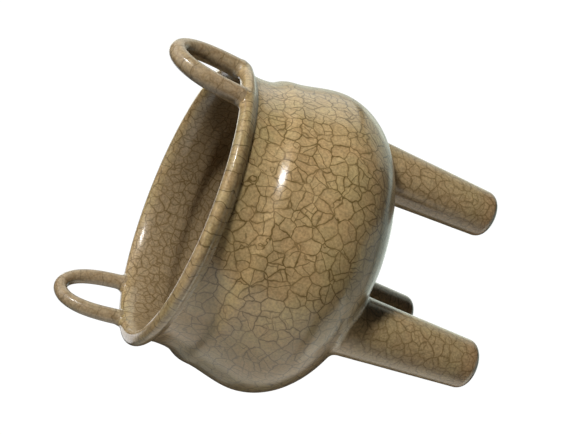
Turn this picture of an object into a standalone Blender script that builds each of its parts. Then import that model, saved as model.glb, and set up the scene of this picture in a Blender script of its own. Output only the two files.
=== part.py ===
"""A round incense burner on three straight legs, with two upright loop ears on its lip.

It is one fired and glazed piece, hollow and open at the top. The origin is on the ground under the
middle of the bowl, +Z is up, the front leg stands at -Y and the ears stand at +X and -X.
All sizes are in metres and all angles in degrees.
"""

import math

import bpy
import bmesh
from mathutils import Matrix, Vector
from mathutils.geometry import interpolate_bezier

# The bowl, from its underside up to the crease below its lip
BASE_HEIGHT = 0.0646
TURN_DIAMETER = 0.1042
TURN_LEVEL = 0.0028
TURN_SLOPE = 22.0
BELLY_DIAMETER = 0.1587
BELLY_LEVEL = 0.0370
SHOULDER_DIAMETER = 0.1492
SHOULDER_LEVEL = 0.0618
SHOULDER_LEAN = 5.0
NECK_DIAMETER = 0.1396
NECK_ABOVE_SHOULDER = 0.0195
CREASE_ABOVE_NECK = 0.0051
CREASE_DEPTH = 0.0006

# The lip: the wall's end rolled outwards, highest near its inner edge
LIP_HEIGHT = 0.0087
LIP_OVERHANG = 0.0052
LIP_WIDTH = 0.0056
LIP_WIDEST_DROP = 0.0032
LIP_CREST_SET_IN = 0.0009
LIP_EDGE_DROP = 0.0014
LIP_UNDER_SLOPE = 55.0
LIP_FLARE = 28.0

# The wall
WALL = 0.0050
FLOOR_THICKNESS = 0.0062

# The legs: where each stands, how far its foot and its root are from the middle, and how thick they are
FOOT_EDGE = 0.0056
ROOT_LEVEL = 0.0082
LEGS = {
    "front": {"bearing": -90.5, "foot_at": 0.0490, "root_at": 0.0519, "foot": 0.0254, "root": 0.0322},
    "right": {"bearing": 27.2, "foot_at": 0.0506, "root_at": 0.0510, "foot": 0.0249, "root": 0.0299},
    "back": {"bearing": 139.6, "foot_at": 0.0503, "root_at": 0.0507, "foot": 0.0247, "root": 0.0306},
}

# The ears: each is one coil of clay bent into an arch, thinner at its crown, on the lip
EAR_SPREAD = 0.0292
EAR_FULLNESS = 3.0
EAR_SINK = 0.0036
EAR_PINCH = 0.45
EARS = {
    "right": {
        "bearing": 0.7,
        "set_in": 0.0010,
        "height": 0.0323,
        "lean": 3.0,
        "drift": 2.8,
        "coil": 0.0096,
        "crown": 0.0087,
    },
    "left": {
        "bearing": 179.4,
        "set_in": 0.0014,
        "height": 0.0319,
        "lean": 9.6,
        "drift": -2.1,
        "coil": 0.0080,
        "crown": 0.0072,
    },
}

# The glaze, as plain surface values
GLAZE_COLOUR = (0.392, 0.291, 0.158, 1.0)
GLAZE_ROUGHNESS = 0.18

# How far each stretch of an outline keeps its direction at either end, as a share of the stretch
SKIN_PULLS = [(0.72, 0.51), (0.27, 0.32), (0.21, 0.56), (0.18, 0.37)]
LIP_PULLS = [(0.40, 0.40), (0.52, 0.40), (0.36, 0.30)]
FLARE_PULLS = [(0.30, 0.45)]

# How finely round shapes are divided
BOWL_SIDES = 48
SKIN_STEPS = [6, 4, 9, 4]
LINING_STEPS = [3, 5, 3, 6, 3]
LIP_STEPS = [3, 5, 5]
TRIM_STEPS = [4, 3, 6, 3]
LEG_SIDES = 24
EDGE_STEPS = 4
EAR_STEPS = 22
EAR_SIDES = 12

NECK_HEIGHT = BASE_HEIGHT + SHOULDER_LEVEL + NECK_ABOVE_SHOULDER
CREASE_HEIGHT = NECK_HEIGHT + CREASE_ABOVE_NECK
RIM_HEIGHT = CREASE_HEIGHT + LIP_HEIGHT
LIP_RADIUS = NECK_DIAMETER / 2 + LIP_OVERHANG
MOUTH_RADIUS = LIP_RADIUS - LIP_WIDTH
MERGE = 0.00001


def clear_scene():
    for obj in list(bpy.data.objects):
        bpy.data.objects.remove(obj, do_unlink=True)


def new_collection(name):
    collection = bpy.data.collections.new(name)
    bpy.context.scene.collection.children.link(collection)
    return collection


def heading(lean):
    """Direction of an outline that runs down and leans outwards by this angle; -90 runs straight in."""
    angle = math.radians(lean)
    return Vector((math.sin(angle), -math.cos(angle)))


def stretch(start, end, pull, steps):
    """Smooth run from one knot (radius, height, lean) to the next, without the first knot's point."""
    a = Vector(start[:2])
    b = Vector(end[:2])
    gap = (b - a).length
    leave = a + heading(start[2]) * gap * pull[0]
    arrive = b - heading(end[2]) * gap * pull[1]
    return [point[:] for point in interpolate_bezier(a, leave, arrive, b, steps + 1)[1:]]


def run(knots, pulls, steps):
    """Outline through all the knots."""
    points = [tuple(knots[0][:2])]
    for start, end, pull, count in zip(knots, knots[1:], pulls, steps):
        points += stretch(start, end, pull, count)
    return points


def moved_in(knot, depth):
    """The same knot on a surface this far inside the bowl's outer skin."""
    radius, height, lean = knot
    direction = heading(lean)
    return (radius + direction.y * depth, height - direction.x * depth, lean)


def skin_knots():
    """Neck, shoulder, widest place, turn of the underside and middle of the underside."""
    return [
        (NECK_DIAMETER / 2, NECK_HEIGHT, 0.0),
        (SHOULDER_DIAMETER / 2, BASE_HEIGHT + SHOULDER_LEVEL, SHOULDER_LEAN),
        (BELLY_DIAMETER / 2, BASE_HEIGHT + BELLY_LEVEL, 0.0),
        (TURN_DIAMETER / 2, BASE_HEIGHT + TURN_LEVEL, TURN_SLOPE - 90.0),
        (0.0, BASE_HEIGHT, -90.0),
    ]


def lip_outline():
    """From the mouth's inner edge over the top of the lip and down to the crease above the neck."""
    knots = [
        (MOUTH_RADIUS, RIM_HEIGHT - LIP_EDGE_DROP, 180.0 - LIP_FLARE / 2),
        (MOUTH_RADIUS + LIP_CREST_SET_IN, RIM_HEIGHT, 90.0),
        (LIP_RADIUS, RIM_HEIGHT - LIP_WIDEST_DROP, 0.0),
        (NECK_DIAMETER / 2 + CREASE_DEPTH, CREASE_HEIGHT, -LIP_UNDER_SLOPE),
    ]
    return run(knots, LIP_PULLS, LIP_STEPS)


def bowl_outline():
    """From the middle of the floor up the inside, over the lip and down the outside to the underside."""
    skin = skin_knots()
    mouth = (MOUTH_RADIUS, RIM_HEIGHT - LIP_EDGE_DROP, -LIP_FLARE)
    lining = [moved_in(knot, WALL) for knot in skin[:3]]
    lining += [moved_in(knot, FLOOR_THICKNESS) for knot in skin[3:]]
    inside = run([mouth] + lining, FLARE_PULLS + SKIN_PULLS, LINING_STEPS)
    return inside[:0:-1] + lip_outline() + run(skin, SKIN_PULLS, SKIN_STEPS)


def turned(name, outline, sides, collection):
    """Solid turned about its own Z axis from an outline that ends on that axis."""
    mesh = bpy.data.meshes.new(name)
    edges = [(i, i + 1) for i in range(len(outline) - 1)]
    mesh.from_pydata([(radius, 0.0, height) for radius, height in outline], edges, [])
    obj = bpy.data.objects.new(name, mesh)
    collection.objects.link(obj)
    screw = obj.modifiers.new("turn", "SCREW")
    screw.steps = sides
    screw.render_steps = sides
    screw.use_merge_vertices = True
    screw.merge_threshold = MERGE
    screw.use_smooth_shade = True
    return obj


def hide_helper(obj):
    obj.hide_render = True
    obj.display_type = "WIRE"


def made_mesh(obj, collection):
    """Mesh object in place of a curve or of an object with modifiers, with its doubled points merged."""
    bpy.context.view_layer.update()
    evaluated = obj.evaluated_get(bpy.context.evaluated_depsgraph_get())
    mesh = bpy.data.meshes.new_from_object(evaluated)
    place = obj.matrix_world.copy()
    name = obj.name
    bpy.data.objects.remove(obj, do_unlink=True)
    shape = bmesh.new()
    shape.from_mesh(mesh)
    bmesh.ops.remove_doubles(shape, verts=shape.verts, dist=MERGE)
    bmesh.ops.recalc_face_normals(shape, faces=shape.faces)
    shape.to_mesh(mesh)
    shape.free()
    solid = bpy.data.objects.new(name, mesh)
    solid.matrix_world = place
    collection.objects.link(solid)
    return solid


def join(target, tool, operation):
    cut = target.modifiers.new(tool.name, "BOOLEAN")
    cut.operation = operation
    cut.object = tool
    cut.solver = "EXACT"


def make_core(helpers):
    """Solid that ends half way through the bowl's wall; it trims the tops of the legs."""
    skin = skin_knots()
    knots = [moved_in(knot, WALL / 2) for knot in skin]
    outline = run(knots, SKIN_PULLS, TRIM_STEPS)
    core = turned("leg_trim", [(0.0, outline[0][1])] + outline, BOWL_SIDES, helpers)
    hide_helper(core)
    return core


def make_leg(name, leg, core, helpers):
    """Tapered leg with a rounded foot, trimmed on top so that it ends inside the bowl's wall."""
    root_height = BASE_HEIGHT + ROOT_LEVEL
    top_height = BASE_HEIGHT + BELLY_LEVEL
    foot_radius = leg["foot"] / 2
    taper = (leg["root"] / 2 - foot_radius) / (root_height - FOOT_EDGE)
    top_radius = foot_radius + taper * (top_height - FOOT_EDGE)
    edge = [
        (
            foot_radius - FOOT_EDGE * (1.0 - math.cos(turn)),
            FOOT_EDGE * (1.0 - math.sin(turn)),
        )
        for turn in (math.pi / 2 * step / EDGE_STEPS for step in range(EDGE_STEPS + 1))
    ]
    outline = [(0.0, top_height), (top_radius, top_height)] + edge + [(0.0, 0.0)]
    solid = made_mesh(turned("leg_" + name, outline, LEG_SIDES, helpers), helpers)
    splay = (leg["root_at"] - leg["foot_at"]) / root_height
    solid.data.transform(Matrix.Shear("XY", 4, (splay, 0.0)))
    bearing = math.radians(leg["bearing"])
    solid.rotation_euler = (0.0, 0.0, bearing)
    solid.location = (leg["foot_at"] * math.cos(bearing), leg["foot_at"] * math.sin(bearing), 0.0)
    join(solid, core, "DIFFERENCE")
    hide_helper(solid)
    return solid


def ear_path(height):
    """Points (across, up) of the arch, from one foot to the other, with both feet inside the lip."""
    half = EAR_SPREAD / 2
    arch = []
    for step in range(EAR_STEPS + 1):
        turn = math.pi * step / EAR_STEPS
        arch.append((-half * math.cos(turn), height * math.sin(turn) ** (2.0 / EAR_FULLNESS)))
    return [(-half, -EAR_SINK)] + arch + [(half, -EAR_SINK)]


def make_ear(name, ear, helpers):
    path = ear_path(ear["height"])
    curve = bpy.data.curves.new("ear_" + name, "CURVE")
    curve.dimensions = "3D"
    curve.bevel_depth = ear["coil"] / 2
    curve.bevel_resolution = EAR_SIDES // 2 - 2
    curve.use_fill_caps = True
    spline = curve.splines.new("POLY")
    spline.points.add(len(path) - 1)
    crown = ear["crown"] / ear["coil"]
    for point, (across, up) in zip(spline.points, path):
        point.co = (0.0, across, up, 1.0)
        thinned = 1.0 + (crown - 1.0) * (max(up, 0.0) / ear["height"]) ** 2
        point.radius = EAR_PINCH if up < 0.0 else thinned
    obj = bpy.data.objects.new("ear_" + name, curve)
    helpers.objects.link(obj)
    foot_circle = LIP_RADIUS - LIP_WIDTH / 2 - ear["set_in"]
    out = math.sqrt(foot_circle**2 - (EAR_SPREAD / 2) ** 2)
    obj.matrix_world = (
        Matrix.Rotation(math.radians(ear["bearing"]), 4, "Z")
        @ Matrix.Translation((out, 0.0, RIM_HEIGHT))
        @ Matrix.Rotation(math.radians(ear["lean"]), 4, "Y")
        @ Matrix.Rotation(math.radians(-ear["drift"]), 4, "X")
    )
    solid = made_mesh(obj, helpers)
    hide_helper(solid)
    return solid


def glaze():
    material = bpy.data.materials.new("crackled_glaze")
    material.use_nodes = True
    shader = material.node_tree.nodes["Principled BSDF"]
    shader.inputs["Base Color"].default_value = GLAZE_COLOUR
    shader.inputs["Roughness"].default_value = GLAZE_ROUGHNESS
    shader.inputs["Metallic"].default_value = 0.0
    return material


def make_burner():
    burner_parts = new_collection("incense_burner")
    helpers = new_collection("helpers")
    burner = turned("incense_burner", bowl_outline(), BOWL_SIDES, burner_parts)
    core = make_core(helpers)
    for name, leg in LEGS.items():
        join(burner, make_leg(name, leg, core, helpers), "UNION")
    for name, ear in EARS.items():
        join(burner, make_ear(name, ear, helpers), "UNION")
    burner.data.materials.append(glaze())


clear_scene()
make_burner()
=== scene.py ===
"""Looks of the incense burner: its clay shapes, its crackled glaze, and the studio it stands in.

The whole burner is one fired piece. It is modelled in the order in which it was made: a bowl turned on
the wheel, three legs fitted under it, two coils set on its lip, all luted together and then glazed.
Sizes are in metres and angles in degrees. The patterns of the glaze are in millimetres.
"""

import math

import bmesh
import bpy
from mathutils import Matrix, Quaternion, Vector
from mathutils.bvhtree import BVHTree
from mathutils.geometry import interpolate_bezier


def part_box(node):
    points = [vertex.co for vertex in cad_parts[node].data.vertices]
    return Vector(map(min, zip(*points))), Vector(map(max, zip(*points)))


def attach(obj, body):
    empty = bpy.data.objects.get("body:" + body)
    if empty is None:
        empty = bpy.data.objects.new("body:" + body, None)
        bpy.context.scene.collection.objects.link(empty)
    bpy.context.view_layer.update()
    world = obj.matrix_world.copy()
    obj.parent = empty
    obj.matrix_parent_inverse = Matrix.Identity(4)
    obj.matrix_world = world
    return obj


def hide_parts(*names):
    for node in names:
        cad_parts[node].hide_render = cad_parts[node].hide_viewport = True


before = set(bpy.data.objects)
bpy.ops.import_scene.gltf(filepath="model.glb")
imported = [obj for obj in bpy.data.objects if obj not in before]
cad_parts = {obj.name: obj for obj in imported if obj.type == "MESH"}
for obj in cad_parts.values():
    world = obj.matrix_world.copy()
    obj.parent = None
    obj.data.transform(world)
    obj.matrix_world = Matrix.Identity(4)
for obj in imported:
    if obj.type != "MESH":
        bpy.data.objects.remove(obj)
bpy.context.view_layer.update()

# The camera
# A long lens a little above the lip, rolled over on its side, so that the burner lies across the
# picture as the photograph shows it while it stands upright in the scene.

AIM = Vector((0.0101, 0.0056, 0.1020))
CAMERA_DISTANCE = 0.609
CAMERA_BEARING = -60.85
CAMERA_ELEVATION = 18.0
CAMERA_ROLL = 68.42
CAMERA_LENS = 74.8
SENSOR_WIDTH = 36.0


def toward(bearing, elevation):
    """Unit vector from the burner towards this bearing and elevation."""
    level = math.cos(math.radians(elevation))
    across = math.radians(bearing)
    return Vector((level * math.cos(across), level * math.sin(across), math.sin(math.radians(elevation))))


def link(obj):
    """Puts an object in the scene."""
    bpy.context.scene.collection.objects.link(obj)
    return obj


outward = toward(CAMERA_BEARING, CAMERA_ELEVATION)
camera = link(bpy.data.objects.new("camera", bpy.data.cameras.new("camera")))
camera.data.lens = CAMERA_LENS
camera.data.sensor_width = SENSOR_WIDTH
camera.location = AIM + CAMERA_DISTANCE * outward
level_view = (-outward).to_track_quat("-Z", "Y")
rolled = level_view @ Quaternion((0.0, 0.0, 1.0), -math.radians(CAMERA_ROLL))
camera.rotation_euler = rolled.to_euler()
bpy.context.scene.camera = camera

# The bowl
# Stoneware clay thrown on the wheel: a round belly drawn in to a neck, with the end of the wall rolled
# outwards into a lip. One outline, turned about the wheel's axis, gives both its skin and its lining.

# The belly is the widest part, so it reaches the side of the part's box.
BELLY_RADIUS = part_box("incense_burner")[1][0]
BASE_HEIGHT = 0.0646
WALL = 0.0050
FLOOR_THICKNESS = 0.0062
# Knots of the outline: a radius, a height, and how far it leans outwards there on its way down.
TURN = (0.0521, BASE_HEIGHT + 0.0028, -68.0)
BELLY = (BELLY_RADIUS, BASE_HEIGHT + 0.0370, 0.0)
SHOULDER = (0.0746, BASE_HEIGHT + 0.0618, 5.0)
NECK = (0.0698, SHOULDER[1] + 0.0195, 0.0)
NECK_TOP_LEAN = -8.0
NECK_FLARE = 0.0006
CREASE = (NECK[0] + NECK_FLARE, NECK[1] + 0.0051, -55.0)
RIM_HEIGHT = CREASE[1] + 0.0087
LIP_EDGE = (NECK[0] + 0.0052, RIM_HEIGHT - 0.0032, 0.0)
LIP_WIDTH = 0.0056
MOUTH_RADIUS = LIP_EDGE[0] - LIP_WIDTH
CREST = (MOUTH_RADIUS + 0.0009, RIM_HEIGHT, 90.0)
INNER_CREST = (CREST[0], RIM_HEIGHT, -90.0)
# The glaze of the lip reaches this many steps of the outline down the inside.
LIP_STEPS_INSIDE = 3
BOWL_SIDES = 288
# How deep the maker's hands have pressed the clay, and how wide each press is.
HAND_WAVER = 0.00022
WAVER_SIZE = 0.022
# Points nearer than this are one point.
MERGE = 0.000001


def heading(lean):
    """Direction of an outline that runs down and leans outwards by this angle; -90 runs straight in."""
    return Vector((math.sin(math.radians(lean)), -math.cos(math.radians(lean))))


def outline_run(stretches):
    """Smooth outline through knots (radius, height, lean). Each stretch says how far it keeps its
    direction at either end, as shares of its length, and in how many steps it is drawn."""
    points = [tuple(stretches[0][0][:2])]
    for start, end, keep, steps in stretches:
        a, b = Vector(start[:2]), Vector(end[:2])
        gap = (b - a).length
        leave = a + heading(start[2]) * gap * keep[0]
        arrive = b - heading(end[2]) * gap * keep[1]
        points += [point[:] for point in interpolate_bezier(a, leave, arrive, b, steps + 1)[1:]]
    return points


def set_in(knot, depth):
    """The same knot on a surface this far inside the skin."""
    radius, height, lean = knot
    along = heading(lean)
    return (radius + along.y * depth, height - along.x * depth, lean)


def skin(depth_above, depth_below, steps):
    """The outline's stretches from the neck down to the middle of the underside, set in by these depths."""
    knots = [set_in(knot, depth_above) for knot in (NECK, SHOULDER, BELLY)]
    knots += [set_in(knot, depth_below) for knot in (TURN, (0.0, BASE_HEIGHT, -90.0))]
    keeps = ((0.72, 0.51), (0.27, 0.32), (0.21, 0.56), (0.18, 0.37))
    return list(zip(knots, knots[1:], keeps, steps))


def put(tree, kind, inputs=(), output=0, **settings):
    """Adds a node with its settings, gives its inputs values or links, and returns one output."""
    node = tree.nodes.new(kind)
    for name, value in settings.items():
        setattr(node, name, value)
    for name, value in inputs.items() if isinstance(inputs, dict) else enumerate(inputs):
        if isinstance(value, bpy.types.NodeSocket):
            tree.links.new(value, node.inputs[name])
        else:
            node.inputs[name].default_value = value
    return node.outputs[output] if node.outputs else None


def new_tree(name, sizes):
    """Geometry tree with these named inputs, each with its socket's kind and first value."""
    tree = bpy.data.node_groups.new(name, "GeometryNodeTree")
    tree.interface.new_socket("Geometry", in_out="INPUT", socket_type="NodeSocketGeometry")
    tree.interface.new_socket("Geometry", in_out="OUTPUT", socket_type="NodeSocketGeometry")
    for label, (kind, value) in sizes.items():
        socket = tree.interface.new_socket(label, in_out="INPUT", socket_type="NodeSocket" + kind)
        if value is not None:
            socket.default_value = value
    return tree, put(tree, "NodeGroupInput").node.outputs


def uneven(tree, clay, waver, size, seed):
    """Presses the surface in here and there, as hands leave it."""
    spot = put(tree, "GeometryNodeInputPosition")
    near = put(tree, "ShaderNodeVectorMath", [spot, size], operation="DIVIDE")
    swell = {"Vector": near, "W": seed, "Scale": 1.0, "Detail": 1.0}
    swell = put(tree, "ShaderNodeTexNoise", swell, noise_dimensions="4D")
    press = put(tree, "ShaderNodeMath", [swell, waver], operation="MULTIPLY")
    press = put(tree, "ShaderNodeMath", [press, -1.0], operation="MULTIPLY")
    outwards = put(tree, "GeometryNodeInputNormal")
    inward = put(tree, "ShaderNodeVectorMath", [outwards, press], operation="MULTIPLY")
    return put(tree, "GeometryNodeSetPosition", {"Geometry": clay, "Offset": inward})


def finish_tree(tree, clay, material):
    """Smooth shading, the clay's material, and real geometry at the end."""
    smooth = put(tree, "GeometryNodeSetShadeSmooth", {"Geometry": clay})
    real = put(tree, "GeometryNodeRealizeInstances", {"Geometry": smooth})
    coated = put(tree, "GeometryNodeSetMaterial", {"Geometry": real, "Material": material})
    put(tree, "NodeGroupOutput", [coated])
    return tree


def turning_tree():
    """Turns an outline of points (radius, 0, height) about the wheel's axis, poles and seam closed."""
    tree, given = new_tree("turned_clay", {
        "Sides": ("Int", 96),
        "Waver": ("Float", 0.0),
        "Waver Size": ("Float", 0.02),
        "Seed": ("Float", 1.0),
        "Clay": ("Material", None),
    })

    # A grid has one row for each point of the outline and one column for each side. Each row is swung
    # round the axis, and its last point meets its first.
    count = put(tree, "GeometryNodeAttributeDomainSize", [given["Geometry"]])
    round_sides = put(tree, "ShaderNodeMath", [given["Sides"], 1.0], operation="ADD")
    clay = put(tree, "GeometryNodeMeshGrid", {"Vertices X": count, "Vertices Y": round_sides})
    index = put(tree, "GeometryNodeInputIndex")
    ring = put(tree, "ShaderNodeMath", [index, round_sides], operation="DIVIDE")
    ring = put(tree, "ShaderNodeMath", [ring], operation="FLOOR")
    side = put(tree, "ShaderNodeMath", [index, round_sides], operation="MODULO")
    turn = put(tree, "ShaderNodeMath", [side, given["Sides"]], operation="DIVIDE")
    turn = put(tree, "ShaderNodeMath", [turn, math.tau], operation="MULTIPLY")
    knot = {"Geometry": given["Geometry"], "Index": ring}
    spot = put(tree, "GeometryNodeInputPosition")
    spot = put(tree, "GeometryNodeSampleIndex", knot | {"Value": spot}, data_type="FLOAT_VECTOR")
    swung = put(tree, "ShaderNodeVectorRotate", {"Vector": spot, "Angle": turn}, rotation_type="Z_AXIS")
    clay = put(tree, "GeometryNodeSetPosition", {"Geometry": clay, "Position": swung})

    # The outline's marks go with its points.
    for mark in ("lining", "lip", "leg"):
        noted = put(tree, "GeometryNodeInputNamedAttribute", {"Name": mark})
        read = put(tree, "GeometryNodeSampleIndex", knot | {"Value": noted})
        clay = {"Geometry": clay, "Name": mark, "Value": read}
        clay = put(tree, "GeometryNodeStoreNamedAttribute", clay)
    clay = put(tree, "GeometryNodeMergeByDistance", {"Geometry": clay, "Distance": MERGE})
    clay = uneven(tree, clay, given["Waver"], given["Waver Size"], given["Seed"])
    return finish_tree(tree, clay, given["Clay"])


def shaped(name, mesh, tree, **sizes):
    """Runs a tree on a mesh and returns the result as a plain mesh object."""
    obj = link(bpy.data.objects.new(name, mesh))
    modifier = obj.modifiers.new("shape", "NODES")
    modifier.node_group = tree
    for socket in tree.interface.items_tree:
        label = socket.name.lower().replace(" ", "_")
        if label in sizes:
            modifier[socket.identifier] = sizes[label]
    return baked(obj)


def baked(obj):
    """The object with its modifiers made real."""
    bpy.context.view_layer.update()
    graph = bpy.context.evaluated_depsgraph_get()
    made = obj.evaluated_get(graph)
    mesh = bpy.data.meshes.new_from_object(made, preserve_all_data_layers=True, depsgraph=graph)
    obj.modifiers.clear()
    obj.data = mesh
    return obj


def outline_mesh(name, outline, **marks):
    """Outline as points and edges. Each mark is one number per point, such as 1 along the lip."""
    mesh = bpy.data.meshes.new(name)
    edges = [(i, i + 1) for i in range(len(outline) - 1)]
    mesh.from_pydata([(radius, 0.0, height) for radius, height in outline], edges, [])
    for mark, values in marks.items():
        mesh.attributes.new(mark, "FLOAT", "POINT").data.foreach_set("value", values)
    return mesh


turning = turning_tree()
# The clay as it is worked, before the glaze and the bare soles take its place.
raw_clay = bpy.data.materials.new("raw_clay")
lining = skin(WALL, FLOOR_THICKNESS, (18, 14, 26, 20))
inside = outline_run([(INNER_CREST, lining[0][0], (0.20, 0.51), 20)] + lining)
lip = outline_run([
    (CREST, LIP_EDGE, (0.52, 0.40), 11),
    (LIP_EDGE, CREASE, (0.36, 0.30), 11),
])
neck_top = (CREASE[0], CREASE[1], NECK_TOP_LEAN)
outside = outline_run([(neck_top, NECK, (0.30, 0.30), 9)] + skin(0.0, 0.0, (18, 16, 30, 20)))[1:]
bowl_outline = inside[:0:-1] + lip + outside
below_lip = len(inside) - 1 - LIP_STEPS_INSIDE
lining_marks = [1.0] * below_lip + [0.0] * (LIP_STEPS_INSIDE + len(lip) + len(outside))
lip_marks = [0.0] * below_lip + [1.0] * (LIP_STEPS_INSIDE + len(lip)) + [0.0] * len(outside)
bowl = shaped(
    "bowl", outline_mesh("bowl", bowl_outline, lining=lining_marks, lip=lip_marks), turning,
    sides=BOWL_SIDES, waver=HAND_WAVER, waver_size=WAVER_SIZE, seed=3.0, clay=raw_clay,
)

# The legs
# Three solid pegs of the same clay, rolled round and slightly tapered, each with its foot's edge
# rounded off and its top cut to the curve of the bowl's underside before it is luted on.

FOOT_EDGE = 0.0056
FOOT_EDGE_STEPS = 10
ROOT_HEIGHT = BASE_HEIGHT + 0.0082
LEG_SIDES = 96
LEG_STEP = 0.0010
LEG_TOP_STEP = 0.0040
SOLE_STEP = 0.0015
CORE_SIDES = 144
CORE_STEP = 0.0100
# How far the foot and the root stand from the wheel's axis, and the radius of each.
LEGS = {
    "front": {"bearing": -90.5, "foot_at": 0.0490, "root_at": 0.0519, "foot": 0.0127, "root": 0.0161},
    "right": {"bearing": 27.2, "foot_at": 0.0506, "root_at": 0.0510, "foot": 0.01245, "root": 0.01495},
    "back": {"bearing": 139.6, "foot_at": 0.0503, "root_at": 0.0507, "foot": 0.01235, "root": 0.0153},
}


def even_steps(start, end, step):
    """Points from start to end, without the first, evenly spaced by about this step."""
    a, b = Vector(start), Vector(end)
    count = max(1, round((b - a).length / step))
    return [a.lerp(b, i / count)[:] for i in range(1, count + 1)]


def leg_outline(foot, root, top_height):
    """From the middle of the top down the side and round the foot's edge to the middle of the sole."""
    taper = (root - foot) / (ROOT_HEIGHT - FOOT_EDGE)
    top = (foot + taper * (top_height - FOOT_EDGE), top_height)
    outline = [(0.0, top_height)] + even_steps((0.0, top_height), top, LEG_TOP_STEP)
    outline += even_steps(top, (foot, FOOT_EDGE), LEG_STEP)
    for step in range(1, FOOT_EDGE_STEPS + 1):
        turn = math.pi / 2.0 * step / FOOT_EDGE_STEPS
        outline.append((foot - FOOT_EDGE * (1.0 - math.cos(turn)), FOOT_EDGE * (1.0 - math.sin(turn))))
    return outline + even_steps(outline[-1], (0.0, 0.0), SOLE_STEP)


def cut(solid, tool, operation):
    """Joins or trims a solid with another."""
    modifier = solid.modifiers.new(operation.lower(), "BOOLEAN")
    modifier.operation = operation
    modifier.object = tool
    modifier.solver = "MANIFOLD"
    return baked(solid)


# The core fills the bowl out to the middle of its wall, and trims the top of each leg.
core_outline = outline_run(skin(WALL / 2.0, WALL / 2.0, (12, 10, 20, 14)))
core_outline = even_steps((0.0, core_outline[0][1]), core_outline[0], CORE_STEP)[:-1] + core_outline
core_outline = [(0.0, core_outline[0][1])] + core_outline
core = shaped("core", outline_mesh("core", core_outline), turning, sides=CORE_SIDES, clay=raw_clay)

legs = []
for name, size in LEGS.items():
    outline = leg_outline(size["foot"], size["root"], BELLY[1])
    leg = shaped(
        "leg_" + name, outline_mesh("leg_" + name, outline, leg=[1.0] * len(outline)), turning,
        sides=LEG_SIDES, waver=HAND_WAVER, waver_size=WAVER_SIZE, seed=5.0, clay=raw_clay,
    )
    splay = (size["root_at"] - size["foot_at"]) / ROOT_HEIGHT
    leg.data.transform(Matrix.Shear("XY", 4, (splay, 0.0)))
    leg.data.transform(Matrix.Translation((size["foot_at"], 0.0, 0.0)))
    leg.data.transform(Matrix.Rotation(math.radians(size["bearing"]), 4, "Z"))
    legs.append(leg)

# The ears
# Two coils of clay, each bent into an upright arch and pressed onto the lip. A coil is thickest
# where it is luted down and a little thinner over its crown.

# The distance between an ear's feet, and how full its arch is: 2 would make it a plain half round.
EAR_SPREAD = 0.0292
EAR_FULLNESS = 3.0
# How deep each foot goes into the lip, and the share of its width that is left down there.
EAR_SINK = 0.0036
EAR_PINCH = 0.45
EAR_SIDES = 36
EAR_RINGS = 120
ARCH_POINTS = 300
# How far an ear's feet stand in from the middle of the lip, its height, how far it tips outwards and
# to its side, and the radius of its coil at the feet and over the crown.
EARS = {
    "right": {"bearing": 0.7, "set_in": 0.0010, "height": 0.0323, "lean": 3.0, "drift": 2.8,
              "coil": 0.0048, "crown": 0.00435},
    "left": {"bearing": 179.4, "set_in": 0.0014, "height": 0.0319, "lean": 9.6, "drift": -2.1,
             "coil": 0.0040, "crown": 0.0036},
}


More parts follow.
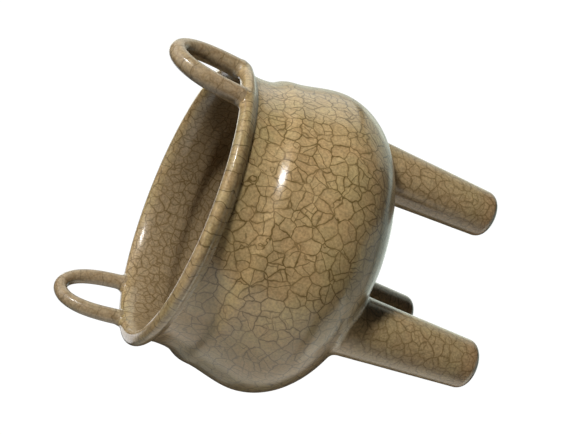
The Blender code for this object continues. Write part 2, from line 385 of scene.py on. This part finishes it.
def coil_tree():
    """Bends a coil into an arch that stands on its two feet, and notes how far along it each point is."""
    tree, given = new_tree("bent_coil", {
        "Spread": ("Float", 0.03),
        "Height": ("Float", 0.03),
        "Fullness": ("Float", 2.0),
        "Sink": ("Float", 0.0),
        "Pinch": ("Float", 1.0),
        "Coil": ("Float", 0.004),
        "Crown": ("Float", 0.004),
        "Sides": ("Int", 24),
        "Rings": ("Int", 60),
        "Waver": ("Float", 0.0),
        "Waver Size": ("Float", 0.02),
        "Seed": ("Float", 1.0),
        "Clay": ("Material", None),
    })

    # The path goes from foot to foot, with one more point straight below each foot, inside the lip.
    line = put(tree, "GeometryNodeMeshLine", {"Count": ARCH_POINTS})
    index = put(tree, "GeometryNodeInputIndex")
    turn = put(tree, "ShaderNodeMapRange", [index, 1.0, ARCH_POINTS - 2.0, 0.0, math.pi])
    across = put(tree, "ShaderNodeMath", [turn], operation="COSINE")
    across = put(tree, "ShaderNodeMath", [across, given["Spread"]], operation="MULTIPLY")
    across = put(tree, "ShaderNodeMath", [across, -0.5], operation="MULTIPLY")
    power = put(tree, "ShaderNodeMath", [2.0, given["Fullness"]], operation="DIVIDE")
    rise = put(tree, "ShaderNodeMath", [turn], operation="SINE")
    rise = put(tree, "ShaderNodeMath", [rise, 0.0], operation="MAXIMUM")
    rise = put(tree, "ShaderNodeMath", [rise, power], operation="POWER")
    rise = put(tree, "ShaderNodeMath", [rise, given["Height"]], operation="MULTIPLY")
    first = put(tree, "ShaderNodeMath", [index, 0.0], operation="COMPARE")
    last = put(tree, "ShaderNodeMath", [index, ARCH_POINTS - 1.0], operation="COMPARE")
    end = put(tree, "ShaderNodeMath", [first, last], operation="ADD")
    sunk = put(tree, "ShaderNodeMath", [end, given["Sink"]], operation="MULTIPLY")
    up = put(tree, "ShaderNodeMath", [rise, sunk], operation="SUBTRACT")
    spot = put(tree, "ShaderNodeCombineXYZ", {"Y": across, "Z": up})
    arch = put(tree, "GeometryNodeSetPosition", {"Geometry": line, "Position": spot})
    curve = put(tree, "GeometryNodeMeshToCurve", [arch])
    curve = put(tree, "GeometryNodeResampleCurve", {0: curve, "Count": given["Rings"]})

    # The coil thins towards its crown, and is pinched where it goes into the lip.
    level = put(tree, "ShaderNodeSeparateXYZ", [put(tree, "GeometryNodeInputPosition")], "Z")
    above = put(tree, "ShaderNodeMath", [level, 0.0], operation="MAXIMUM")
    above = put(tree, "ShaderNodeMath", [above, given["Height"]], operation="DIVIDE")
    above = put(tree, "ShaderNodeMath", [above, 2.0], operation="POWER")
    below = put(tree, "ShaderNodeMath", [level, 0.0], operation="MINIMUM")
    below = put(tree, "ShaderNodeMath", [below, given["Sink"]], operation="DIVIDE")
    squeeze = put(tree, "ShaderNodeMath", [1.0, given["Pinch"]], operation="SUBTRACT")
    pinched = put(tree, "ShaderNodeMath", [below, squeeze, 1.0], operation="MULTIPLY_ADD")
    thinning = put(tree, "ShaderNodeMath", [given["Crown"], given["Coil"]], operation="SUBTRACT")
    radius = put(tree, "ShaderNodeMath", [thinning, above, given["Coil"]], operation="MULTIPLY_ADD")
    radius = put(tree, "ShaderNodeMath", [radius, pinched], operation="MULTIPLY")
    along = put(tree, "GeometryNodeSplineParameter", output="Length")
    curve = {"Geometry": curve, "Name": "coil_run", "Value": along}
    curve = put(tree, "GeometryNodeStoreNamedAttribute", curve)
    ring = put(tree, "GeometryNodeCurvePrimitiveCircle", {"Resolution": given["Sides"], "Radius": 1.0})
    clay = {"Curve": curve, "Profile Curve": ring, "Scale": radius, "Fill Caps": True}
    clay = put(tree, "GeometryNodeCurveToMesh", clay)
    clay = put(tree, "GeometryNodeStoreNamedAttribute", {"Geometry": clay, "Name": "ear", "Value": 1.0})
    clay = put(tree, "GeometryNodeMergeByDistance", {"Geometry": clay, "Distance": MERGE})
    clay = uneven(tree, clay, given["Waver"], given["Waver Size"], given["Seed"])
    return finish_tree(tree, clay, given["Clay"])


bending = coil_tree()
ears = []
for name, size in EARS.items():
    ear = shaped(
        "ear_" + name, bpy.data.meshes.new("ear_" + name), bending, spread=EAR_SPREAD, height=size["height"],
        fullness=EAR_FULLNESS, sink=EAR_SINK, pinch=EAR_PINCH, coil=size["coil"], crown=size["crown"],
        sides=EAR_SIDES, rings=EAR_RINGS, waver=HAND_WAVER, waver_size=WAVER_SIZE, seed=7.0, clay=raw_clay,
    )
    foot_circle = LIP_EDGE[0] - LIP_WIDTH / 2.0 - size["set_in"]
    out = math.sqrt(foot_circle**2 - (EAR_SPREAD / 2.0) ** 2)
    ear.data.transform(
        Matrix.Rotation(math.radians(size["bearing"]), 4, "Z")
        @ Matrix.Translation((out, 0.0, RIM_HEIGHT))
        @ Matrix.Rotation(math.radians(size["lean"]), 4, "Y")
        @ Matrix.Rotation(math.radians(-size["drift"]), 4, "X")
    )
    ears.append(ear)

# The joins
# Every leg and ear is luted on with slip, and the thick glaze fills the corner that is left. So each
# join is a soft hollow about 3 mm wide, and a touch wider round an ear than round a leg.

LEG_JOIN = 0.0028
EAR_JOIN = 0.0034
# Points round a join that lie nearer together than this become one.
CRUMB = 0.0003
# Clay no higher than this belongs to a sole.
SOLE_DIP = 0.0003
SETTLING_ROUNDS = 4
EASING_ROUNDS = 6
# Holds a point back where the slopes of the two solids nearly cancel out.
LEAST_SLOPE = 0.2


def field(solid):
    """A solid's surface, kept so that the nearest point on it is quickly found."""
    return BVHTree.FromObject(solid, bpy.context.evaluated_depsgraph_get())


def from_surface(tree, point):
    """How far outside a solid a point is, and which way is straight out of the solid there."""
    nearest, normal, _, _ = tree.find_nearest(point)
    gap = point - nearest
    if gap.length < MERGE:
        return 0.0, normal
    side = 1.0 if gap.dot(normal) > 0.0 else -1.0
    return side * gap.length, gap.normalized() * side


def settle(point, first, second, reach):
    """Moves a point onto the surface that rounds the corner between two solids over this reach."""
    # Near a corner the two distances melt into one, and the rounded surface is where that is nought.
    for _ in range(SETTLING_ROUNDS):
        a, out_a = from_surface(first, point)
        b, out_b = from_surface(second, point)
        if a > b:
            a, b, out_a, out_b = b, a, out_b, out_a
        share = max(0.0, 1.0 - (b - a) / reach)
        slope = out_a.lerp(out_b, share / 2.0)
        excess = a - share * share * reach / 4.0
        point = point - slope * (excess / max(slope.length_squared, LEAST_SLOPE))
    return point


bowl_field = field(bowl)
core_field = field(core)
joins = [(field(leg), LEG_JOIN) for leg in legs] + [(field(ear), EAR_JOIN) for ear in ears]
for leg in legs:
    cut(leg, core, "DIFFERENCE")
for part in legs + ears:
    cut(bowl, part, "UNION")

# The points round each join settle onto its hollow, and are then evened out and settled again. The
# bowl's lining above a leg stays as it was turned.
shape = bmesh.new()
shape.from_mesh(bowl.data)
for part_field, reach in joins:
    near = []
    for vert in shape.verts:
        found = part_field.find_nearest(vert.co, reach)
        if found[0] is None or bowl_field.find_nearest(vert.co, reach)[0] is None:
            continue
        if reach == LEG_JOIN and from_surface(core_field, vert.co)[0] < 0.0:
            continue
        near.append(vert)
    bmesh.ops.remove_doubles(shape, verts=near, dist=CRUMB)
    near = [vert for vert in near if vert.is_valid]
    for vert in near:
        vert.co = settle(vert.co, bowl_field, part_field, reach)
    for _ in range(EASING_ROUNDS):
        eased = {}
        for vert in near:
            around = [edge.other_vert(vert).co for edge in vert.link_edges]
            middle = sum(around, Vector()) / len(around)
            eased[vert] = vert.co.lerp(middle, 0.5)
        for vert, spot in eased.items():
            vert.co = settle(spot, bowl_field, part_field, reach)

# The soles are wiped flat.
for vert in shape.verts:
    if vert.co.z < SOLE_DIP:
        vert.co.z = 0.0
bmesh.ops.triangulate(shape, faces=[face for face in shape.faces if len(face.verts) > 4])
shape.to_mesh(bowl.data)
shape.free()
for part in legs + ears + [core]:
    bpy.data.objects.remove(part, do_unlink=True)

# The glaze
# A thick grey-yellow celadon glaze over the whole burner. It shrank more than the clay as it cooled, so
# it is crazed all over: wide cells split again into small ones, with the cracks stained brown.

MM = 1000.0
# The mean width of a cell, and the mean distance between the cracks across the lip and the ears.
BELLY_CELL = 7.2
LINING_CELL = 5.7
LEG_CELL = 6.2
LIP_RUNG = 7.0
EAR_RUNG = 9.0
# A crack's bends, large and small: how long one is, and how far it strays.
CRACK_BENDS = ((6.5, 4.2), (2.0, 0.75))
RUNG_BEND = 6.0
# A cell is split again if its heart lies no deeper than the first of these, and never beyond the second.
SPLIT_DEPTHS = (1.3, 2.6)
# The share of halves that are split once more, and how far off the cell's middle that crack runs.
HALVES_SPLIT = 0.38
HALVES_SHIFT = 0.8
# The first cracks fade and come back over this distance.
FADING = 9.0
# How wide the stain beside a first crack is, a bubble in the glaze, and a dimple in its skin.
STAIN_WIDTH = 1.4
BUBBLE = 1.1
DIMPLE = 0.9
# Heights between which the glaze turns: dark on a foot's edge, brown above it, and darker deep in the mouth.
FOOT_DARK = (1.8, 3.8)
FOOT_BROWN = (3.0, 17.0)
# The darker inside of the mouth is partly the lining's own browner glaze, partly painted shade.
MOUTH_TONE_AND_SHADE = (160.0, 153.0)


def colour(code):
    """Linear colour from an sRGB hex code."""
    parts = [int(code[i:i + 2], 16) / 255.0 for i in (1, 3, 5)]
    return tuple(p / 12.92 if p <= 0.04045 else ((p + 0.055) / 1.055) ** 2.4 for p in parts) + (1.0,)


def new_material(name):
    """A new material, its tree, and the shader in it."""
    material = bpy.data.materials.new(name)
    material.use_nodes = True
    tree = material.node_tree
    shader = tree.nodes["Principled BSDF"]
    return material, tree, shader


def crackled_glaze():
    """A glassy coat that lies uneven, so its gloss is a little soft; every crack is a dull brown line."""
    material, tree, shader = new_material("crackled_celadon_glaze")
    place = put(tree, "ShaderNodeTexCoord", output="Object")
    place = put(tree, "ShaderNodeVectorMath", {0: place, "Scale": MM}, operation="SCALE")
    square = put(tree, "ShaderNodeTexCoord", output="Normal")
    x, y, z = put(tree, "ShaderNodeSeparateXYZ", [place]).node.outputs
    regions = {}
    for name in ("lining", "lip", "leg", "ear"):
        mark = put(tree, "ShaderNodeAttribute", output="Fac", attribute_name=name)
        regions[name] = put(tree, "ShaderNodeMath", [mark, 0.5], operation="GREATER_THAN")

    # A Mix node takes its share at 0 and what it mixes as two numbers at 2 and 3, two vectors at 4 and
    # 5, or two colours at 6 and 7.
    def by_region(belly, **others):
        """One number for the belly, and its own for each region that is named."""
        value = belly
        for region, wanted in others.items():
            value = put(tree, "ShaderNodeMix", {0: regions[region], 2: value, 3: wanted})
        return value

    def laid_over(body, coats):
        """The body with each of these colours laid over it in turn, by its own share."""
        for share, code in coats:
            coat = {0: share, 6: body, 7: colour(code)}
            body = put(tree, "ShaderNodeMix", coat, output=2, data_type="RGBA")
        return body

    # No crack runs straight: the pattern is bent before it is drawn.
    bent = place
    for length, stray in CRACK_BENDS:
        push = put(tree, "ShaderNodeTexNoise", {"Vector": place, "Scale": 1 / length, "Detail": 1.0}, 1)
        push = put(tree, "ShaderNodeVectorMath", [push, (-0.5, -0.5, -0.5)], operation="ADD")
        bent = put(tree, "ShaderNodeVectorMath", [push, (stray,) * 3, bent], operation="MULTIPLY_ADD")

    # The first cracks part the wide cells. How far off one is, is measured along the surface, so that
    # its line keeps its width where the cell's wall leans.
    often = by_region(1 / BELLY_CELL, lining=1 / LINING_CELL, leg=1 / LEG_CELL)
    cells = {"Vector": bent, "Scale": often, "Randomness": 0.80}
    own = put(tree, "ShaderNodeTexVoronoi", cells, "Position", feature="F1")
    other = put(tree, "ShaderNodeTexVoronoi", cells, "Position", feature="F2")
    chance = own.node.outputs["Color"]
    apart = put(tree, "ShaderNodeVectorMath", [other, own], operation="SUBTRACT")
    apart = put(tree, "ShaderNodeVectorMath", [apart], operation="NORMALIZE")
    middle = put(tree, "ShaderNodeMix", {0: 0.5, 4: own, 5: other}, output=1, data_type="VECTOR")
    to_wall = put(tree, "ShaderNodeVectorMath", [middle, bent], operation="SUBTRACT")
    first = put(tree, "ShaderNodeVectorMath", [to_wall, apart], "Value", operation="DOT_PRODUCT")
    lean = put(tree, "ShaderNodeVectorMath", [apart, square], "Value", operation="DOT_PRODUCT")
    level = put(tree, "ShaderNodeMath", [lean, lean], operation="MULTIPLY")
    level = put(tree, "ShaderNodeMath", [1.0, level], operation="SUBTRACT")
    level = put(tree, "ShaderNodeMath", [level, 0.03], operation="MAXIMUM")
    level = put(tree, "ShaderNodeMath", [level], operation="SQRT")
    first = put(tree, "ShaderNodeMath", [first, level], operation="DIVIDE")

    # Cells that the surface cuts near their heart are the wide ones. They are split again through
    # that point, and some of the halves once more, square to the first split. Luck picks which,
    # drawn from the later digits of each cell's random colour.
    fall = put(tree, "ShaderNodeVectorMath", [chance, (-0.5, -0.5, -0.5)], operation="ADD")
    rest = put(tree, "ShaderNodeVectorMath", [fall, square], operation="PROJECT")
    way = put(tree, "ShaderNodeVectorMath", [fall, rest], operation="SUBTRACT")
    way = put(tree, "ShaderNodeVectorMath", [way], operation="NORMALIZE")
    turned = put(tree, "ShaderNodeVectorMath", [square, way], operation="CROSS_PRODUCT")
    reach = put(tree, "ShaderNodeVectorMath", [bent, own], operation="SUBTRACT")
    second = put(tree, "ShaderNodeVectorMath", [reach, way], "Value", operation="DOT_PRODUCT")
    third = put(tree, "ShaderNodeVectorMath", [reach, turned], "Value", operation="DOT_PRODUCT")
    half = put(tree, "ShaderNodeMath", [second, 0.0], operation="GREATER_THAN")
    shift = put(tree, "ShaderNodeMapRange", [half, 0.0, 1.0, -HALVES_SHIFT, HALVES_SHIFT])
    third = put(tree, "ShaderNodeMath", [third, shift], operation="ADD")
    luck = put(tree, "ShaderNodeVectorMath", [chance, (7.0, 7.0, 7.0)], operation="MULTIPLY")
    luck = put(tree, "ShaderNodeVectorMath", [luck], operation="FRACTION")
    luck = put(tree, "ShaderNodeSeparateXYZ", [luck]).node.outputs
    buried = put(tree, "ShaderNodeVectorMath", [reach, square], "Value", operation="DOT_PRODUCT")
    buried = put(tree, "ShaderNodeMath", [buried], operation="ABSOLUTE")
    likely = put(tree, "ShaderNodeMapRange", [buried, *SPLIT_DEPTHS, 1.0, 0.0])
    split = put(tree, "ShaderNodeMath", [likely, luck["X"]], operation="SUBTRACT")
    split = put(tree, "ShaderNodeMapRange", [split, 0.0, 0.3])
    side_luck = put(tree, "ShaderNodeMix", {0: half, 2: luck["Y"], 3: luck["Z"]})
    again = put(tree, "ShaderNodeMath", [side_luck, HALVES_SPLIT], operation="LESS_THAN")
    again = put(tree, "ShaderNodeMath", [again, split], operation="MULTIPLY")

    # Round the lip and along an ear the cracks run across, each a little bent, and cells barely show.
    run_lip = put(tree, "ShaderNodeMath", [y, x], operation="ARCTAN2")
    run_lip = put(tree, "ShaderNodeMath", [run_lip, MM * LIP_EDGE[0]], operation="MULTIPLY")
    run_ear = put(tree, "ShaderNodeAttribute", output="Fac", attribute_name="coil_run")
    run_ear = put(tree, "ShaderNodeMath", [run_ear, MM], operation="MULTIPLY")
    run = put(tree, "ShaderNodeMix", {0: regions["ear"], 2: run_lip, 3: run_ear})
    wobble = put(tree, "ShaderNodeTexNoise", {"Vector": place, "Scale": 1 / RUNG_BEND, "Detail": 1.0})
    run = put(tree, "ShaderNodeMath", [wobble, RUNG_BEND, run], operation="MULTIPLY_ADD")
    rungs = {"W": run, "Scale": by_region(1 / LIP_RUNG, ear=1 / EAR_RUNG)}
    fourth = put(tree, "ShaderNodeTexVoronoi", rungs, voronoi_dimensions="1D", feature="DISTANCE_TO_EDGE")
    fourth = put(tree, "ShaderNodeMath", [fourth, rungs["Scale"]], operation="DIVIDE")

    # Each kind of crack: how far off it is, its half width in mm, its strength in each region, and
    # whether it is there. The real cracks are hair thin, and are drawn as wide as their stain.
    faded = put(tree, "ShaderNodeTexNoise", {"Vector": place, "Scale": 1 / FADING, "Detail": 1.0})
    faded = put(tree, "ShaderNodeMapRange", [faded, 0.38, 0.58, 0.62, 1.0])
    line = 0.0
    for away, width, strength, there in (
        (first, 0.48, by_region(0.80, lining=0.62, leg=0.46, lip=0.2, ear=0.16), faded),
        (second, 0.44, by_region(0.66, lining=0.50, leg=0.38, lip=0.0, ear=0.0), split),
        (third, 0.40, by_region(0.54, lining=0.42, leg=0.30, lip=0.0, ear=0.0), again),
        (fourth, 0.42, by_region(0.0, lip=0.75, ear=0.48), 1.0),
    ):
        away = put(tree, "ShaderNodeMath", [away], operation="ABSOLUTE")
        dark = [away, 0.05, width, strength, 0.0]
        dark = put(tree, "ShaderNodeMapRange", dark, interpolation_type="SMOOTHSTEP")
        dark = put(tree, "ShaderNodeMath", [dark, there], operation="MULTIPLY")
        line = put(tree, "ShaderNodeMath", [line, dark], operation="MAXIMUM")

    # Clouds of grey-yellow and pink-brown, and a tone of its own for each cell. The ears and the legs differ
    # a little, the inside below the lip is darker, partly its own browner glaze and partly painted shade,
    # and the glaze runs thin and brown towards the feet.
    coats = []
    for size, low, high, most, code in (
        (34.0, 0.38, 0.62, 1.0, "#a89466"),
        (12.0, 0.46, 0.66, 0.55, "#ad8e63"),
        (4.0, 0.48, 0.70, 0.35, "#9f8f69"),
    ):
        cloud = put(tree, "ShaderNodeTexNoise", {"Vector": place, "Scale": 1 / size, "Detail": 2.0})
        cloud = [cloud, low, high, 0.0, most]
        cloud = put(tree, "ShaderNodeMapRange", cloud, interpolation_type="SMOOTHSTEP")
        coats.append((cloud, code))
    tone = put(tree, "ShaderNodeSeparateXYZ", [chance], "Y")
    tone = put(tree, "ShaderNodeMath", [half, 0.35, tone], operation="MULTIPLY_ADD")
    tone = put(tree, "ShaderNodeMath", [tone, by_region(0.30, lip=0.0, ear=0.0)], operation="MULTIPLY")
    # Darker deeper in the mouth: partly the lining's own browner glaze, partly painted shade.
    inside_tone_and_shade = put(tree, "ShaderNodeMapRange", [z, *MOUTH_TONE_AND_SHADE], interpolation_type="SMOOTHSTEP")
    inside_tone_and_shade = put(tree, "ShaderNodeMath", [inside_tone_and_shade, regions["lining"]], operation="MULTIPLY")
    foot = put(tree, "ShaderNodeMapRange", [z, *FOOT_BROWN, 0.42, 0.0], interpolation_type="SMOOTHSTEP")
    foot = put(tree, "ShaderNodeMath", [foot, regions["leg"]], operation="MULTIPLY")
    body = laid_over(colour("#b1976b"), coats + [
        (tone, "#947951"),
        (by_region(0.0, lip=0.15, ear=0.7), "#94826a"),
        (by_region(0.0, leg=0.3), "#b8a07c"),
        (inside_tone_and_shade, "#937f60"),
        (foot, "#9c6f50"),
    ])

    # A fine grain of bubbles lies under the stain beside each crack and the crack itself. The real
    # bubbles are finer, and are drawn a millimetre wide.
    grain = put(tree, "ShaderNodeTexNoise", {"Vector": place, "Scale": 1 / BUBBLE, "Detail": 3.0})
    grain = put(tree, "ShaderNodeMapRange", [grain, 0.35, 0.65, 0.79, 1.20])
    body = put(tree, "ShaderNodeVectorMath", [body, grain], operation="MULTIPLY")
    stain = [first, 0.0, STAIN_WIDTH, 0.28, 0.0]
    stain = put(tree, "ShaderNodeMapRange", stain, interpolation_type="SMOOTHSTEP")
    edge = put(tree, "ShaderNodeMapRange", [z, *FOOT_DARK, 0.95, 0.0], interpolation_type="SMOOTHSTEP")
    edge = put(tree, "ShaderNodeMath", [edge, regions["leg"]], operation="MULTIPLY")
    body = laid_over(body, [(stain, "#7d5f34"), (line, "#4c390f"), (edge, "#3a2a1e")])
    tree.links.new(body, shader.inputs["Base Color"])

    # Two layers share the gloss: clear glass, and under it a softer, milky one. Each bends the light
    # less than real glaze does, so that together they shine about as much as it does.
    shader.inputs["Roughness"].default_value = 0.38
    shader.inputs["IOR"].default_value = 1.38
    shader.inputs["Coat Weight"].default_value = 1.0
    shader.inputs["Coat Roughness"].default_value = 0.16
    shader.inputs["Coat IOR"].default_value = 1.4

    # The skin has dimples a little under a millimetre wide and a few hundredths of one deep.
    dimples = put(tree, "ShaderNodeTexNoise", {"Vector": place, "Scale": 1 / DIMPLE, "Detail": 2.0})
    ripple = put(tree, "ShaderNodeBump", {"Strength": 1.0, "Distance": 0.00003, "Height": dimples})
    tree.links.new(ripple, shader.inputs["Normal"])
    tree.links.new(ripple, shader.inputs["Coat Normal"])
    return material


def bare_clay():
    """The body shows dull and gritty on the soles, where the glaze was wiped off before the firing."""
    material, tree, shader = new_material("bare_iron_clay")
    place = put(tree, "ShaderNodeTexCoord", output="Object")
    # The real grit is finer, and is drawn a millimetre wide.
    grit = put(tree, "ShaderNodeTexNoise", {"Vector": place, "Scale": 900.0, "Detail": 3.0})
    tone = {0: grit, 6: colour("#4a3020"), 7: colour("#7a5236")}
    tone = put(tree, "ShaderNodeMix", tone, output=2, data_type="RGBA")
    tree.links.new(tone, shader.inputs["Base Color"])
    shader.inputs["Roughness"].default_value = 0.85
    rough = put(tree, "ShaderNodeBump", {"Strength": 1.0, "Distance": 0.0001, "Height": grit})
    tree.links.new(rough, shader.inputs["Normal"])
    return material


bowl.data.materials.clear()
bowl.data.materials.append(crackled_glaze())
bowl.data.materials.append(bare_clay())
for face in bowl.data.polygons:
    face.material_index = 1 if face.center.z < SOLE_DIP / 2.0 else 0
bowl.name = "glazed_burner"
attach(bowl, "root")
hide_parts("incense_burner")

# The studio
# A plain white floor, one small bright box high at the right as the key, a wide weak one above it,
# and a weak fill low at the left. The rest are white cards all round, which show in the gloss alone
# and draw the light edges of the burner.

FLOOR_RADIUS = 14.0
FLOOR_SIDES = 64
BOX_DISTANCE = 1.2
WHITE = colour("#ffffff")
DIM_ROOM = 0.02


def soft_box(name, bearing, elevation, width, height, radiance, tint="#ffffff", matt=True, gloss=True):
    """Rectangular light this many degrees wide and high as the burner sees it, and this bright. It
    lights the matt colours, or shows in the gloss, or both."""
    size = [2.0 * BOX_DISTANCE * math.tan(math.radians(angle) / 2.0) for angle in (width, height)]
    data = bpy.data.lights.new(name, "AREA")
    data.shape = "RECTANGLE"
    data.size, data.size_y = size
    data.color = colour(tint)[:3]
    data.energy = radiance * math.pi * size[0] * size[1]
    light = link(bpy.data.objects.new(name, data))
    light.location = Vector((0.0, 0.0, AIM.z)) + BOX_DISTANCE * toward(bearing, elevation)
    light.rotation_euler = toward(bearing, elevation).to_track_quat("Z", "Y").to_euler()
    light.visible_camera = False
    light.visible_diffuse = matt
    light.visible_glossy = gloss


soft_box("key_box", -11.0, 41.5, 6.0, 7.0, 262.0, gloss=False)
soft_box("key_glint", -11.0, 40.0, 4.4, 5.0, 76.0, matt=False)
soft_box("key_halo", -11.0, 39.5, 10.0, 13.0, 18.0, matt=False)
soft_box("top_box", -70.0, 80.0, 50.0, 40.0, 0.7, matt=False)
soft_box("right_top_box", 24.0, 56.0, 56.0, 36.0, 1.1)
soft_box("left_card", -163.0, -20.0, 36.0, 66.0, 0.66, "#fffbee", matt=False)
soft_box("left_card_halo", -161.0, -22.0, 52.0, 86.0, 0.38, "#fffbee", matt=False)
soft_box("left_card_low", -136.0, -58.0, 34.0, 28.0, 1.15, "#fbfff0", matt=False)
soft_box("left_card_top", -138.0, 27.0, 56.0, 22.0, 0.75, "#fbfff0", matt=False)
soft_box("left_card_side", 168.0, 6.0, 26.0, 36.0, 0.26, "#fbfff0", matt=False)
soft_box("left_fill", -122.0, -16.0, 46.0, 40.0, 1.5, "#fff8e8", gloss=False)
soft_box("left_fill_card", -122.0, -8.0, 46.0, 48.0, 1.2, "#fff8e8", matt=False)
soft_box("right_card", 61.0, 8.0, 42.0, 54.0, 0.98, "#f8fcf0", matt=False)
soft_box("right_card_side", 100.5, -8.0, 33.0, 56.0, 0.68, "#f6fff0", matt=False)
soft_box("right_card_low", 68.0, -37.0, 42.0, 26.0, 0.62, "#f4fbe8", matt=False)
soft_box("right_card_under", 104.0, -60.0, 32.0, 24.0, 0.55, "#f0fff0", matt=False)
soft_box("right_card_edge", 115.0, -36.0, 16.0, 28.0, 0.75, "#f4fff4", matt=False)
soft_box("back_card", 122.0, 12.0, 52.0, 16.0, 1.2, matt=False)
soft_box("under_card", -66.0, -84.0, 38.0, 38.0, 0.68, "#fbfff0", matt=False)

floor_data = bpy.data.meshes.new("floor")
rim = [toward(360.0 * i / FLOOR_SIDES, 0.0) * FLOOR_RADIUS for i in range(FLOOR_SIDES)]
floor_data.from_pydata([point[:] for point in rim], [], [list(range(FLOOR_SIDES))])
floor = link(bpy.data.objects.new("floor", floor_data))
# Matt paper lit from behind, so that it is evenly white, without a shadow or a reflection.
paper, _, paper_shader = new_material("white_paper")
paper_shader.inputs["Base Color"].default_value = colour("#404040")
paper_shader.inputs["Roughness"].default_value = 1.0
paper_shader.inputs["Specular IOR Level"].default_value = 0.0
paper_shader.inputs["Emission Color"].default_value = WHITE
paper_shader.inputs["Emission Strength"].default_value = 1.02
floor_data.materials.append(paper)
floor.visible_diffuse = False
floor.visible_glossy = False
floor.visible_shadow = False

# Beyond the floor the camera sees white, while the burner gets only a dim room.
world = bpy.data.worlds.new("studio")
bpy.context.scene.world = world
world.use_nodes = True
sky = world.node_tree
backdrop = sky.nodes["Background"]
seen = put(sky, "ShaderNodeLightPath", output="Is Camera Ray")
sky_tone = {0: seen, 6: (DIM_ROOM, DIM_ROOM, DIM_ROOM, 1.0), 7: WHITE}
sky_tone = put(sky, "ShaderNodeMix", sky_tone, output=2, data_type="RGBA")
sky.links.new(sky_tone, backdrop.inputs["Color"])
bpy.context.scene.view_settings.view_transform = "Standard"
